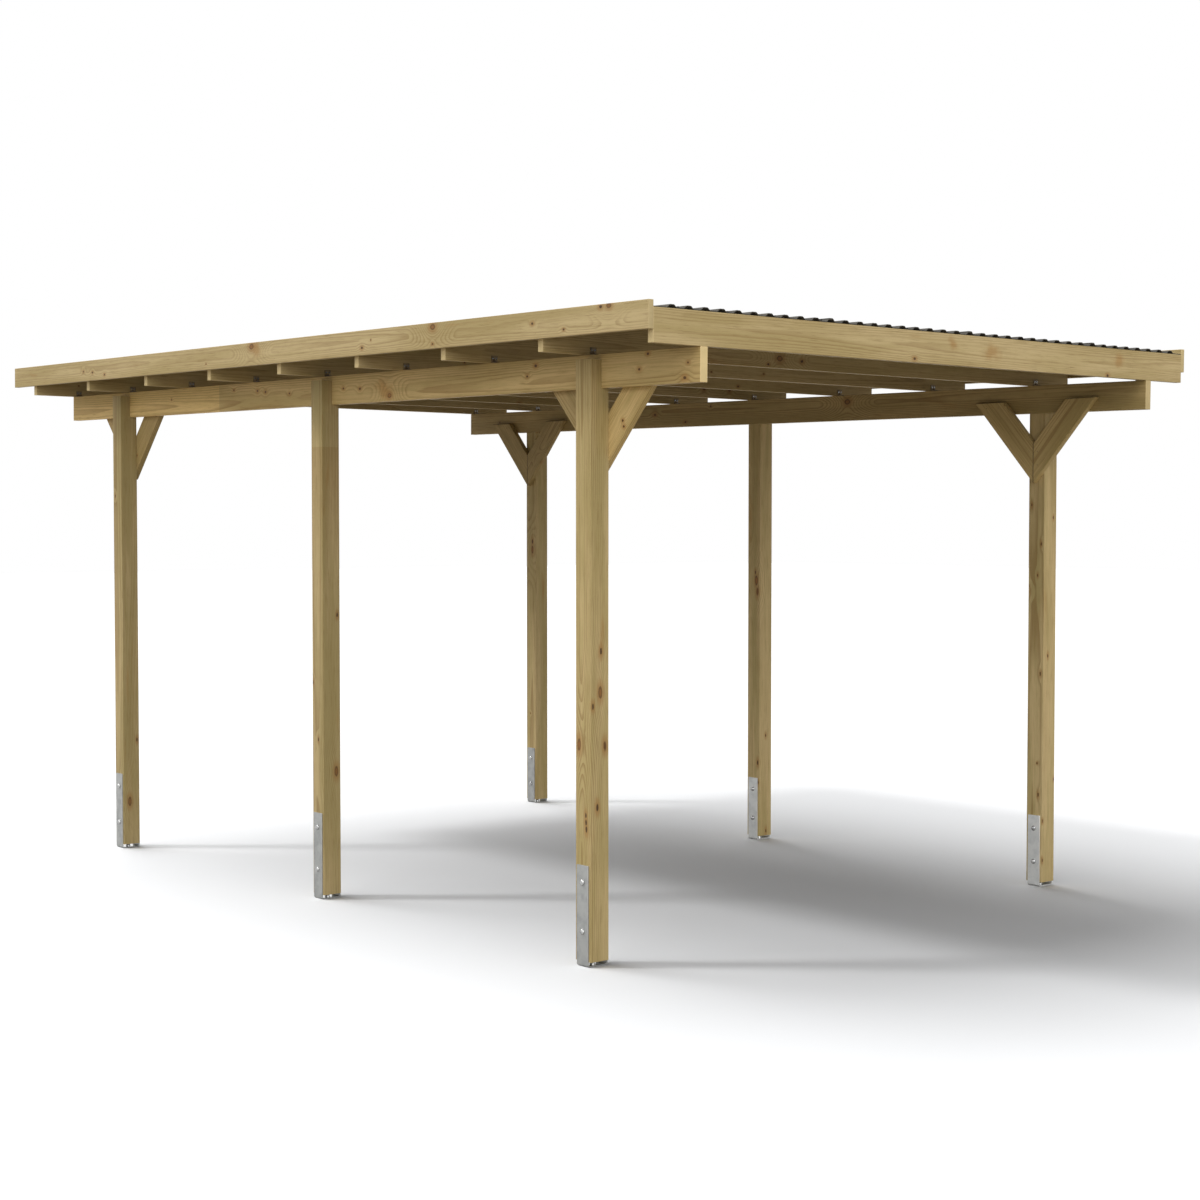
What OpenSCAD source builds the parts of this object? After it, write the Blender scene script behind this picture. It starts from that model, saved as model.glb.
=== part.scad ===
// Timber carport: six posts on steel anchors, two long beams with corner braces,
// rafters across them, a fascia along each side and a corrugated roof.
// X runs across the drive, Y from the front to the back, Z up from the ground.

/* [Posts] */
// Side of the square posts
post_w = 90; // [75:1:120]
// Width over the two rows of posts, outside to outside
row_w = 2860; // [2400:5:2980]
// From the front face of the front posts to that of the middle posts
front_bay = 1895; // [1500:5:2400]
// From the front face of the middle posts to that of the back posts
back_bay = 1950; // [1500:5:2400]
// From the ground to the foot of the posts
post_lift = 20; // [16:1:60]
// From the top of the beam down to the top of the posts
tongue_drop = 20; // [0:1:60]

/* [Post anchors] */
// Width of the flat steel
anchor_w = 68; // [40:1:70]
// Thickness of the flat steel
anchor_t = 5; // [3:0.5:8]
// Inside radius of the two bends
bend_r = 5; // [2:0.5:7]
// Height of the leg on the outside of the post
outer_leg_h = 394; // [200:1:500]
// Height of the leg on the inside of the post
inner_leg_h = 336; // [200:1:500]
// Diameter of the hole for the ground bolt
ground_hole_d = 14; // [8:0.5:20]

/* [Beams] */
// Thickness of the beams
beam_t = 36; // [32:1:50]
// Height of the beams
beam_h = 130; // [100:1:200]
// From the ground to the underside of the beams at the front posts
beam_z = 2230; // [2000:5:2600]
// Length of the beams in front of the front posts
beam_front = 555; // [400:5:900]
// Length of the beams behind the back posts
beam_back = 575; // [400:5:900]
// Angle at which the roof rises towards the back
roof_rise = 0.65; // [0:0.05:3]

/* [Braces] */
// Width of the brace boards
brace_w = 125; // [80:1:140]
// Thickness of the brace boards
brace_t = 30; // [18:1:45]
// Angle of the braces above level
brace_angle = 48; // [42:1:52]
// From the underside of the beam down to the tip of the braces
brace_drop = 328; // [280:1:400]
// Height of the brace tops above the underside of the beam
brace_lap = 60; // [40:1:90]

/* [Rafters] */
// Thickness of the rafters
rafter_t = 30; // [22:1:45]
// Height of the rafters
rafter_h = 127; // [100:1:180]
// Length of the rafters
rafter_l = 3210; // [3000:5:3600]
// Width of the angle brackets that hold the rafters to the beams
bracket_w = 32; // [15:1:36]
// Length of each leg of the brackets
bracket_leg = 30; // [20:1:60]
// Thickness of the brackets
bracket_t = 2.5; // [1.5:0.5:4]

/* [Fascias] */
// Thickness of the side fascias
fascia_t = 23; // [16:1:32]
// Height of the side fascias
fascia_h = 104; // [90:1:140]
// From the underside of the rafters to that of the fascias
fascia_lift = 48; // [30:1:70]

/* [Roof sheets] */
// Length of the roof behind the last rafter
roof_back = 195; // [50:5:300]
// Distance between the crests of the sheets
wave_pitch = 82; // [60:0.5:120]
// Rise from the troughs to the crests
wave_h = 11; // [8:1:18]
// Thickness of the sheets
sheet_t = 3; // [2:0.5:3]
// Width of the flat top of a crest
crest_w = 22; // [16:1:30]
// Width of the flat bottom of a trough
trough_w = 36; // [24:1:40]
// Gap between the sheets and the fascias
sheet_gap = 2; // [1:0.5:5]
// Least width of the flat strip along each side of the roof
edge_flat = 30; // [20:1:45]

/* [Hidden] */
$fn = 48;
wood = "#b9a573";
shaded_wood = "#a8915f";
steel = "#9a9ea2";
roofing = "#2b2c2e";

post_y = [0, front_bay, front_bay + back_bay];
tongue_t = post_w - beam_t;
beam_l = beam_front + post_y[2] + post_w + beam_back;
roof_l = beam_l + roof_back;

// Heights above the underside of the beams, square to the roof
rafter_z = beam_h;
sheet_z = rafter_z + rafter_h;
fascia_z = rafter_z + fascia_lift;
fascia_top = fascia_z + fascia_h;

rafter_count = 9;
rafter_step = (beam_l - rafter_t) / (rafter_count - 1);

flank_w = (wave_pitch - crest_w - trough_w) / 2;
sheet_edge = rafter_l / 2 - sheet_gap;
// As many crests as fit between the edge strips
crest_count = floor((2 * (sheet_edge - edge_flat) + trough_w) / wave_pitch);
sheet_count = 4;
// Crests from the start of one sheet to the start of the next
sheet_step = ceil((crest_count - 1) / sheet_count);
// How far a lapped sheet stops short of the edge of the crest that covers it
lap_back = 4;

// Run of a brace's lower and upper edge from the middle of the post
brace_rise = brace_drop + brace_lap;
brace_outer = brace_rise / tan(brace_angle);
brace_inner = brace_outer - brace_w / sin(brace_angle);
brace_cut = brace_w / cos(brace_angle);

// Front and back of the roof, measured from the front face of the front posts
front_end = -beam_front * cos(roof_rise) - fascia_top * sin(roof_rise);
back_end = (roof_l - beam_front) * cos(roof_rise) - fascia_z * sin(roof_rise);
mid_y = (front_end + back_end) / 2;

// Room for a cut to pass clear of what it cuts
over = 50;

left = -1;
right = 1;
fore = -1;
aft = 1;

// Pieces are drawn for the left side and mirrored for the right
module on_side(side) {
    mirror([side == right ? 1 : 0, 0, 0]) children();
}

// Level frame: Y from the front face of the front posts, Z from the ground
module from_ground() {
    translate([0, -mid_y, 0]) children();
}

// Sloping frame: Y along the beams, Z square to them from their underside
module in_roof() {
    translate([0, -mid_y, beam_z]) rotate([roof_rise, 0, 0]) children();
}

// A post with its top notched on the inside for the beam
module post(side, row) {
    tall = beam_z + beam_h + post_y[row] * tan(roof_rise);
    color(wood) on_side(side) difference() {
        from_ground() translate([-row_w / 2, post_y[row], post_lift])
            cube([post_w, post_w, tall - post_lift + over]);
        in_roof() translate([-row_w / 2 + tongue_t, post_y[row] - over, 0])
            cube([post_w, post_w + 2 * over, beam_h + 3 * over]);
        in_roof() translate([-row_w / 2 - over, post_y[row] - over, beam_h - tongue_drop])
            cube([post_w + 2 * over, post_w + 2 * over, 4 * over]);
    }
}

// Outline of an upright channel with rounded bottom corners, standing on the X axis
module channel(w, r, h) {
    translate([-w / 2, r]) square([w, h - r]);
    translate([r - w / 2, 0]) square([w - 2 * r, h]);
    for (s = [-1, 1]) translate([s * (w / 2 - r), r]) circle(r);
}

// A flat steel bar bent to a U around the foot of a post, with a hole for the ground bolt
module anchor(side, row) {
    color(steel) on_side(side) from_ground()
        translate([(post_w - row_w) / 2, post_y[row] + post_w / 2, 0]) difference() {
            rotate([90, 0, 0]) linear_extrude(anchor_w, center = true) difference() {
                channel(post_w + 2 * anchor_t, bend_r + anchor_t, outer_leg_h);
                translate([0, anchor_t]) channel(post_w, bend_r, outer_leg_h);
                translate([0, inner_leg_h]) square([post_w, outer_leg_h]);
            }
            translate([0, 0, -over]) cylinder(d = ground_hole_d, h = anchor_t + 2 * over);
        }
}

// A beam lying in the notches of one row of posts, flush with their inner faces
module beam(side) {
    color(wood) on_side(side) in_roof()
        translate([-row_w / 2 + tongue_t, -beam_front, 0]) cube([beam_t, beam_l, beam_h]);
}

// A board on the inner face of a corner post, leaning up to the beam
module brace(side, row, lean) {
    mid_post = post_y[row] + post_w / 2;
    color(shaded_wood) on_side(side) from_ground()
        translate([post_w - row_w / 2, mid_post, beam_z + mid_post * tan(roof_rise)])
        rotate([90, 0, 90]) linear_extrude(brace_t) polygon([
            [0, -brace_drop],
            [lean * brace_outer, brace_lap],
            [lean * brace_inner, brace_lap],
            [0, brace_cut - brace_drop]
        ]);
}

function rafter_y(i) = i * rafter_step - beam_front;

// A board on edge across both beams
module rafter(number) {
    color(wood) in_roof()
        translate([-rafter_l / 2, rafter_y(number - 1), rafter_z]) cube([rafter_l, rafter_t, rafter_h]);
}

// One angle bracket, its corner at the origin and its legs along Y and Z
module bracket() {
    translate([-bracket_w / 2, 0, 0]) cube([bracket_w, bracket_leg, bracket_t]);
    translate([-bracket_w / 2, 0, 0]) cube([bracket_w, bracket_t, bracket_leg]);
}

// The brackets of one beam: behind the first rafter, in front of the others
module brackets(side) {
    beam_mid = -row_w / 2 + tongue_t + beam_t / 2;
    color(steel) on_side(side) in_roof() {
        translate([beam_mid, rafter_y(0) + rafter_t, rafter_z]) bracket();
        for (i = [1 : rafter_count - 1])
            translate([beam_mid, rafter_y(i), rafter_z]) mirror([0, 1, 0]) bracket();
    }
}

// A board along the rafter ends on one side
module fascia(side) {
    color(wood) on_side(side) in_roof()
        translate([-rafter_l / 2 - fascia_t, -beam_front, fascia_z]) cube([fascia_t, roof_l, fascia_h]);
}

function crest_x(i) = (i - (crest_count - 1) / 2) * wave_pitch;
function climb(i) = [
    [crest_x(i) - crest_w / 2 - flank_w, 0],
    [crest_x(i) - crest_w / 2, wave_h]
];
function fall(i) = [
    [crest_x(i) + crest_w / 2, wave_h],
    [crest_x(i) + crest_w / 2 + flank_w, 0]
];

// Underside of a sheet from its first to its last crest. Its first crest lies over
// the last crest of the sheet before it, and the outer sheets run flat to the fascias.
function sheet_start(first) = first == 0
    ? concat([[-sheet_edge, 0]], climb(first), fall(first))
    : [
        [crest_x(first) - crest_w / 2, wave_h + sheet_t],
        [crest_x(first) + crest_w / 2, wave_h + sheet_t],
        [crest_x(first) + crest_w / 2 + flank_w, 0]
    ];
function sheet_end(last) = last == crest_count - 1
    ? concat(climb(last), fall(last), [[sheet_edge, 0]])
    : concat(climb(last), [[crest_x(last) + crest_w / 2 - lap_back, wave_h]]);
function sheet_middle(first, last) = [
    for (i = [first + 1 : last - 1]) each concat(climb(i), fall(i))
];

// A corrugated sheet from the front rafter to the back end of the fascias
module roof_sheet(number) {
    first = (number - 1) * sheet_step;
    last = number == sheet_count ? crest_count - 1 : number * sheet_step;
    under = concat(sheet_start(first), sheet_middle(first, last), sheet_end(last));
    top = [for (i = [len(under) - 1 : -1 : 0]) under[i] + [0, sheet_t]];
    color(roofing) in_roof() translate([0, roof_l - beam_front, sheet_z])
        rotate([90, 0, 0]) linear_extrude(roof_l) polygon(concat(under, top));
}

post(left, 0);  // post_front_left
post(left, 1);  // post_middle_left
post(left, 2);  // post_back_left
post(right, 0);  // post_front_right
post(right, 1);  // post_middle_right
post(right, 2);  // post_back_right
anchor(left, 0);  // anchor_front_left
anchor(left, 1);  // anchor_middle_left
anchor(left, 2);  // anchor_back_left
anchor(right, 0);  // anchor_front_right
anchor(right, 1);  // anchor_middle_right
anchor(right, 2);  // anchor_back_right
beam(left);  // beam_left
beam(right);  // beam_right
brace(left, 0, fore);  // brace_front_left_fore
brace(left, 0, aft);  // brace_front_left_aft
brace(left, 2, fore);  // brace_back_left_fore
brace(left, 2, aft);  // brace_back_left_aft
brace(right, 0, fore);  // brace_front_right_fore
brace(right, 0, aft);  // brace_front_right_aft
brace(right, 2, fore);  // brace_back_right_fore
brace(right, 2, aft);  // brace_back_right_aft
rafter(1);  // rafter_1
rafter(2);  // rafter_2
rafter(3);  // rafter_3
rafter(4);  // rafter_4
rafter(5);  // rafter_5
rafter(6);  // rafter_6
rafter(7);  // rafter_7
rafter(8);  // rafter_8
rafter(9);  // rafter_9
brackets(left);  // brackets_left
brackets(right);  // brackets_right
fascia(left);  // fascia_left
fascia(right);  // fascia_right
roof_sheet(1);  // roof_sheet_1
roof_sheet(2);  // roof_sheet_2
roof_sheet(3);  // roof_sheet_3
roof_sheet(4);  // roof_sheet_4
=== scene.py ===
import math
import random

import bmesh
import bpy
import numpy as np
from mathutils import Matrix, Vector


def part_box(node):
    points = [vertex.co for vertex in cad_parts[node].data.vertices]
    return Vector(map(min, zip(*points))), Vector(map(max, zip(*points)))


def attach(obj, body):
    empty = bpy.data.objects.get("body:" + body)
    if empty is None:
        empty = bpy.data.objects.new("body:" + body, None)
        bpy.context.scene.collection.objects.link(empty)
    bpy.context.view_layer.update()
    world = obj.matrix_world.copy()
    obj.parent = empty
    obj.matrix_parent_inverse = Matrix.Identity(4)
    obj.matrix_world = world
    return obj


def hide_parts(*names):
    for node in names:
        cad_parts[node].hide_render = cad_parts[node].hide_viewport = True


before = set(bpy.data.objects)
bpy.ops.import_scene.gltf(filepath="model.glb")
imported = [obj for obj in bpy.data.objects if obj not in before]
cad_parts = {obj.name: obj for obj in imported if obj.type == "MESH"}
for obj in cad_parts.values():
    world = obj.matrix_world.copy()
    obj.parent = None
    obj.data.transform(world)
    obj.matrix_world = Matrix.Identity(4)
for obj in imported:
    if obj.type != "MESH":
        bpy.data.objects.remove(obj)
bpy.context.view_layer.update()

scene = bpy.context.scene
scene.view_settings.view_transform = "Standard"
mm = 0.001


def tint(red, green, blue):
    # screen colour, 0 to 255, to the linear colour that a shader takes
    def linear(c):
        c /= 255
        return c / 12.92 if c <= 0.04045 else ((c + 0.055) / 1.055) ** 2.4
    return (linear(red), linear(green), linear(blue), 1.0)


# camera: where the picture was taken from
cameraSetup = {
    "place": (-6.460, -8.101, 1.704),  # metres
    "turn": 40.098,  # degrees to the right of +Y
    "dip": 2.076,  # degrees below level
    "lens": 61.607,  # mm
    "sensor": 36.0,
}


def makeCamera(setup):
    turn, dip = math.radians(setup["turn"]), math.radians(setup["dip"])
    ahead = Vector((math.sin(turn) * math.cos(dip), math.cos(turn) * math.cos(dip), -math.sin(dip)))
    data = bpy.data.cameras.new("camera")
    data.lens, data.sensor_width = setup["lens"], setup["sensor"]
    camera = bpy.data.objects.new("camera", data)
    camera.location = setup["place"]
    camera.rotation_mode = "QUATERNION"
    camera.rotation_quaternion = ahead.to_track_quat("-Z", "Y")
    scene.collection.objects.link(camera)
    scene.camera = camera


makeCamera(cameraSetup)
print("camera placed")


# node helpers, for materials and geometry trees alike
def addNode(tree, kind, sockets=None, **settings):
    node = tree.nodes.new(kind)
    for name, value in settings.items():
        setattr(node, name, value)
    for name, value in (sockets or {}).items():
        feed(tree, node.inputs[name], value)
    return node


def feed(tree, socket, value):
    if isinstance(value, bpy.types.NodeSocket):
        tree.links.new(value, socket)
    else:
        socket.default_value = value


def calc(tree, operation, a, b=0.0, c=0.0):
    node = addNode(tree, "ShaderNodeMath", operation=operation)
    for socket, value in zip(node.inputs, (a, b, c)):
        feed(tree, socket, value)
    return node.outputs[0]


def times(tree, *values):
    product = values[0]
    for value in values[1:]:
        product = calc(tree, "MULTIPLY", product, value)
    return product


def ramp(tree, value, low, high, toLow=0.0, toHigh=1.0):
    # smooth step between two values
    sockets = {"Value": value, "From Min": low, "From Max": high, "To Min": toLow, "To Max": toHigh}
    node = addNode(tree, "ShaderNodeMapRange", sockets, interpolation_type="SMOOTHSTEP")
    return node.outputs["Result"]


def vectorCalc(tree, operation, a, b=(0, 0, 0)):
    node = addNode(tree, "ShaderNodeVectorMath", operation=operation)
    feed(tree, node.inputs[0], a)
    feed(tree, node.inputs[1], b)
    return node


def stretch(tree, vector, factors):
    return vectorCalc(tree, "MULTIPLY", vector, factors).outputs[0]


def choose(tree, factor, a, b):
    # a where the factor is 0, b where it is 1
    return calc(tree, "MULTIPLY_ADD", calc(tree, "SUBTRACT", b, a), factor, a)


def noise(tree, vector, scale, detail=2.0, roughness=0.5):
    sockets = {"Vector": vector, "Scale": scale, "Detail": detail, "Roughness": roughness}
    return addNode(tree, "ShaderNodeTexNoise", sockets).outputs["Fac"]


def blendColor(tree, factor, a, b):
    node = addNode(tree, "ShaderNodeMix", data_type="RGBA")
    for name, value in (("Factor_Float", factor), ("A_Color", a), ("B_Color", b)):
        socket = next(s for s in node.inputs if s.identifier == name)
        feed(tree, socket, value)
    return next(s for s in node.outputs if s.identifier == "Result_Color")


def newGroup(name, kind, inputs, outputs):
    tree = bpy.data.node_groups.new(name, kind)
    for direction, sockets in (("INPUT", inputs), ("OUTPUT", outputs)):
        for label, socketType in sockets.items():
            tree.interface.new_socket(name=label, in_out=direction, socket_type="NodeSocket" + socketType)
    return tree, tree.nodes.new("NodeGroupInput").outputs, tree.nodes.new("NodeGroupOutput").inputs


def useGroup(tree, group, values):
    return addNode(tree, "ShaderNodeGroup", values, node_tree=group).outputs


def newMaterial(name):
    material = bpy.data.materials.new(name)
    material.use_nodes = True
    tree = material.node_tree
    shader = next(n for n in tree.nodes if n.type == "BSDF_PRINCIPLED")
    return material, tree, shader


def addBump(tree, shader, strength, distance, height):
    bump = addNode(tree, "ShaderNodeBump", {"Strength": strength, "Distance": distance, "Height": height})
    feed(tree, shader.inputs["Normal"], bump.outputs["Normal"])


# floor, lamps and background
studio = {
    "floorSize": 120.0,
    "floorShown": (0.974, 0.984, 0.998, 1.0),  # as the camera sees it
    "floorBounce": (0.31, 0.265, 0.205, 1.0),  # as it lights the object from below
    "ambient": 0.25,
    "lamps": [
        # name, direction to the lamp, strength, angle in degrees, whether it lights the floor
        ("leftLamp", (-0.32, 0.38, 0.87), 0.8, 36.0, True),
        ("leftSpot", (-0.50, 0.42, 0.76), 0.8, 8.0, True),
        ("backLamp", (-0.03, 0.65, 0.75), 1.05, 36.0, True),
        ("topLamp", (0.12, 0.32, 0.94), 0.62, 30.0, True),
        ("sideLamp", (-0.81, -0.02, 0.57), 0.6, 50.0, True),
        ("sideFill", (-0.90, -0.10, 0.42), 0.17, 60.0, False),
        ("frontLamp", (-0.38, -0.83, 0.41), 2.2, 70.0, False),
    ],
}


def seenDirectly(tree):
    rays = tree.nodes.new("ShaderNodeLightPath").outputs
    straight = calc(tree, "MAXIMUM", rays["Is Camera Ray"], rays["Is Glossy Ray"])
    return calc(tree, "MAXIMUM", straight, rays["Is Transmission Ray"])


def makeStudio(setup):
    size = setup["floorSize"] / 2
    corners = [(-size, -size, 0), (size, -size, 0), (size, size, 0), (-size, size, 0)]
    mesh = bpy.data.meshes.new("floor")
    mesh.from_pydata(corners, [], [(0, 1, 2, 3)])
    floor = bpy.data.objects.new("floor", mesh)
    scene.collection.objects.link(floor)
    material, tree, shader = newMaterial("paleFloor")
    color = blendColor(tree, seenDirectly(tree), setup["floorBounce"], setup["floorShown"])
    feed(tree, shader.inputs["Base Color"], color)
    shader.inputs["Roughness"].default_value = 1.0
    shader.inputs["Specular IOR Level"].default_value = 0.0
    mesh.materials.append(material)

    world = bpy.data.worlds.new("studio")
    world.use_nodes = True
    scene.world = world
    tree = world.node_tree
    background = next(n for n in tree.nodes if n.type == "BACKGROUND")
    background.inputs["Color"].default_value = (1, 1, 1, 1)
    strength = ramp(tree, seenDirectly(tree), 0.0, 1.0, setup["ambient"], 1.0)
    feed(tree, background.inputs["Strength"], strength)

    for name, toward, strength, angle, onFloor in setup["lamps"]:
        data = bpy.data.lights.new(name, "SUN")
        data.energy, data.angle = strength, math.radians(angle)
        lamp = bpy.data.objects.new(name, data)
        lamp.rotation_mode = "QUATERNION"
        lamp.rotation_quaternion = Vector(toward).to_track_quat("Z", "Y")
        scene.collection.objects.link(lamp)
        if not onFloor:
            skipped = bpy.data.collections.new(name + "Skips")
            skipped.objects.link(floor)
            skipped.collection_objects[0].light_linking.link_state = "EXCLUDE"
            lamp.light_linking.receiver_collection = skipped


makeStudio(studio)
print("floor and lamps ready")

# knots; a pair is where an effect starts and where it is full, in radii from the middle
knotLook = {
    "unevenScale": 90.0,
    "unevenDepth": 4 * mm,
    "core": (1.0, 0.6),
    "rimOutside": (1.2, 0.95),
    "rimInside": (0.5, 0.85),
    "halo": (3.2, 0.9),
    "bend": (6.0, 0.4),  # rings bend round every knot
    "bendDepth": 0.9,
    "swirl": (12.0, 0.4),  # and more widely round a large one with a set place
    "swirlDepth": 2.6,
    "swirlFrom": 9 * mm,
    "big": (7.2 * mm, 9.5 * mm),  # radius from which a knot turns red with a dark rim
    "smallest": 0.3,  # share of the knot size
    "rarity": 3.0,  # the higher, the fewer large ones
    "alongGrain": 0.75,
    "farAway": 99.0,
    "strayShare": 0.2,  # of the chance knots, on a board with set ones
}
grainLook = {
    # noise: stretch across, through and along the board, detail, roughness
    "wander": ((5.0, 5.0, 0.45), 2.0, 0.5),
    "waver": ((36.0, 36.0, 1.6), 2.0, 0.5),
    "faint": ((14.0, 14.0, 0.8), 2.0, 0.5),
    "stain": ((9.0, 9.0, 0.9), 3.0, 0.6),
    "rust": ((14.3, 14.3, 1.95), 4.0, 0.6),
    # the same on a face, across and along
    "fibre": ((430.0, 9.0, 0.0), 4.0, 0.65),
    "streak": ((85.0, 1.3, 0.0), 3.0, 0.6),
    "wanderDepth": 40 * mm,
    "waverDepth": 3 * mm,
    "ringRise": (0.35, 0.92),  # a ring darkens slowly and ends at once
    "ringFall": (1.0, 0.93),
    "faintRange": (0.3, 0.65, 0.25, 1.0),
    "rustRange": (0.62, 0.78),
    "ringRelief": 0.35,
    "fibreRelief": 0.65,
}


def knotRatio(tree, co, away, radius):
    # distance from a knot's middle in radii, with an uneven outline
    depth = knotLook["unevenDepth"]
    uneven = calc(tree, "MULTIPLY_ADD", noise(tree, co, knotLook["unevenScale"]), depth, away)
    return calc(tree, "DIVIDE", calc(tree, "SUBTRACT", uneven, depth / 2), radius)


# one knot at a set place, passed on if it is the nearest so far
def makeKnotSpot():
    inputs = {"Co": "Vector", "Centre": "Vector", "Shape": "Vector", "Radius": "Float", "Swirl": "Float",
              "Ratio": "Float", "Size": "Float", "Bend": "Float"}
    outputs = {"Ratio": "Float", "Size": "Float", "Bend": "Float"}
    tree, given, result = newGroup("knotSpot", "ShaderNodeTree", inputs, outputs)
    away = vectorCalc(tree, "SUBTRACT", given["Co"], given["Centre"]).outputs[0]
    away = vectorCalc(tree, "LENGTH", stretch(tree, away, given["Shape"])).outputs["Value"]
    ratio = knotRatio(tree, given["Co"], away, given["Radius"])
    nearer = calc(tree, "LESS_THAN", ratio, given["Ratio"])
    feed(tree, result["Ratio"], calc(tree, "MINIMUM", ratio, given["Ratio"]))
    feed(tree, result["Size"], choose(tree, nearer, given["Size"], given["Radius"]))
    swirl = times(tree, ramp(tree, ratio, *knotLook["swirl"]), given["Radius"], given["Swirl"])
    feed(tree, result["Bend"], calc(tree, "ADD", given["Bend"], swirl))
    return tree


# grain, knots and stains of a board, from its own coordinates
def makeBoardGrain():
    floats = ("Ring Width", "Knot Spacing", "Knot Size", "Knot Share", "Spot Ratio", "Spot Size", "Spot Bend")
    inputs = {"Face Uv": "Vector", "Board Co": "Vector", **dict.fromkeys(floats, "Float")}
    outputs = ("Rings", "Fibre", "Streak", "Knot", "Rim", "Halo", "Big Knot", "Stain", "Rust", "Height")
    tree, given, result = newGroup("boardGrain", "ShaderNodeTree", inputs, dict.fromkeys(outputs, "Float"))
    uv, co = given["Face Uv"], given["Board Co"]

    def drawnOut(vector, look):
        factors, detail, roughness = grainLook[look]
        return noise(tree, stretch(tree, vector, factors), 1.0, detail, roughness)

    # knots: a few cells of a flat pattern, most of them small
    knotUv = stretch(tree, uv, (1.0, knotLook["alongGrain"], 0.0))
    cellScale = calc(tree, "DIVIDE", 1.0, given["Knot Spacing"])
    cells = addNode(tree, "ShaderNodeTexVoronoi", {"Vector": knotUv, "Scale": cellScale},
                    voronoi_dimensions="2D").outputs
    dice = addNode(tree, "ShaderNodeSeparateColor", {"Color": cells["Color"]}).outputs
    smallest = knotLook["smallest"]
    size = calc(tree, "POWER", dice["Red"], knotLook["rarity"])
    size = calc(tree, "MULTIPLY_ADD", size, 1 - smallest, smallest)
    there = calc(tree, "LESS_THAN", dice["Green"], given["Knot Share"])
    size = times(tree, size, given["Knot Size"], there)
    away = calc(tree, "MULTIPLY", cells["Distance"], given["Knot Spacing"])
    ratio = knotRatio(tree, uv, away, calc(tree, "MAXIMUM", size, 0.01 * mm))
    size = choose(tree, calc(tree, "LESS_THAN", given["Spot Ratio"], ratio), size, given["Spot Size"])
    ratio = calc(tree, "MINIMUM", ratio, given["Spot Ratio"])
    rim = times(tree, ramp(tree, ratio, *knotLook["rimOutside"]), ramp(tree, ratio, *knotLook["rimInside"]))
    feed(tree, result["Knot"], ramp(tree, ratio, *knotLook["core"]))
    feed(tree, result["Rim"], rim)
    feed(tree, result["Halo"], ramp(tree, ratio, *knotLook["halo"]))
    feed(tree, result["Big Knot"], ramp(tree, size, *knotLook["big"]))
    bend = times(tree, ramp(tree, ratio, *knotLook["bend"]), size, knotLook["bendDepth"])
    bend = calc(tree, "ADD", bend, given["Spot Bend"])

    # year rings around the heart of the log, which wanders along the board
    part = addNode(tree, "ShaderNodeSeparateXYZ", {"Vector": co}).outputs
    squares = calc(tree, "ADD", times(tree, part["X"], part["X"]), times(tree, part["Y"], part["Y"]))
    reach = calc(tree, "SQRT", squares)
    reach = calc(tree, "MULTIPLY_ADD", drawnOut(co, "wander"), grainLook["wanderDepth"], reach)
    reach = calc(tree, "MULTIPLY_ADD", drawnOut(co, "waver"), grainLook["waverDepth"], reach)
    turn = calc(tree, "FRACT", calc(tree, "DIVIDE", calc(tree, "ADD", reach, bend), given["Ring Width"]))
    rings = times(tree, ramp(tree, turn, *grainLook["ringRise"]), ramp(tree, turn, *grainLook["ringFall"]))
    rings = times(tree, rings, ramp(tree, drawnOut(co, "faint"), *grainLook["faintRange"]))
    fibre = drawnOut(uv, "fibre")
    feed(tree, result["Rings"], rings)
    feed(tree, result["Fibre"], fibre)
    feed(tree, result["Streak"], drawnOut(uv, "streak"))
    feed(tree, result["Stain"], drawnOut(co, "stain"))
    feed(tree, result["Rust"], ramp(tree, drawnOut(co, "rust"), *grainLook["rustRange"]))
    height = times(tree, fibre, grainLook["fibreRelief"])
    feed(tree, result["Height"], calc(tree, "MULTIPLY_ADD", rings, grainLook["ringRelief"], height))
    return tree


knotSpot = makeKnotSpot()
boardGrain = makeBoardGrain()

# cut end grain: the pale one as sawn; the dark one, on the braces, is painted shade that darkens their mitre
# seam and cut tops
paleEnd, paintedShadeEnd = tint(206, 187, 141), tint(46, 34, 18)
pineFinishes = {
    # planed, pressure-treated pine: straw and olive tones, brown rings and knots
    "postPine": {"straw": tint(190, 169, 123), "olive": tint(165, 148, 99), "cutEnd": paleEnd,
                 "ringWidth": 7 * mm, "ringDepth": 0.57,
                 "knotSpacing": 0.15, "knotSize": 9 * mm, "knotShare": 0.45},
    "beamPine": {"straw": tint(186, 163, 114), "olive": tint(160, 140, 91), "cutEnd": paleEnd,
                 "ringWidth": 6 * mm, "ringDepth": 0.63,
                 "knotSpacing": 0.16, "knotSize": 9 * mm, "knotShare": 0.55},
    "bracePine": {"straw": tint(186, 163, 114), "olive": tint(160, 140, 91), "cutEnd": paintedShadeEnd,
                  "ringWidth": 6 * mm, "ringDepth": 0.50,
                  "knotSpacing": 0.18, "knotSize": 8 * mm, "knotShare": 0.40},
    "roofPine": {"straw": tint(192, 172, 127), "olive": tint(172, 153, 105), "cutEnd": paleEnd,
                 "ringWidth": 5 * mm, "ringDepth": 0.44,
                 "knotSpacing": 0.15, "knotSize": 9 * mm, "knotShare": 0.45},
}
pineShades = {
    "ring": tint(122, 92, 47),
    "fibre": tint(118, 93, 52),
    "rust": tint(158, 117, 62),
    "halo": tint(146, 104, 54),
    "knot": tint(54, 34, 16),
    "redKnot": tint(132, 90, 45),
}
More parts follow.
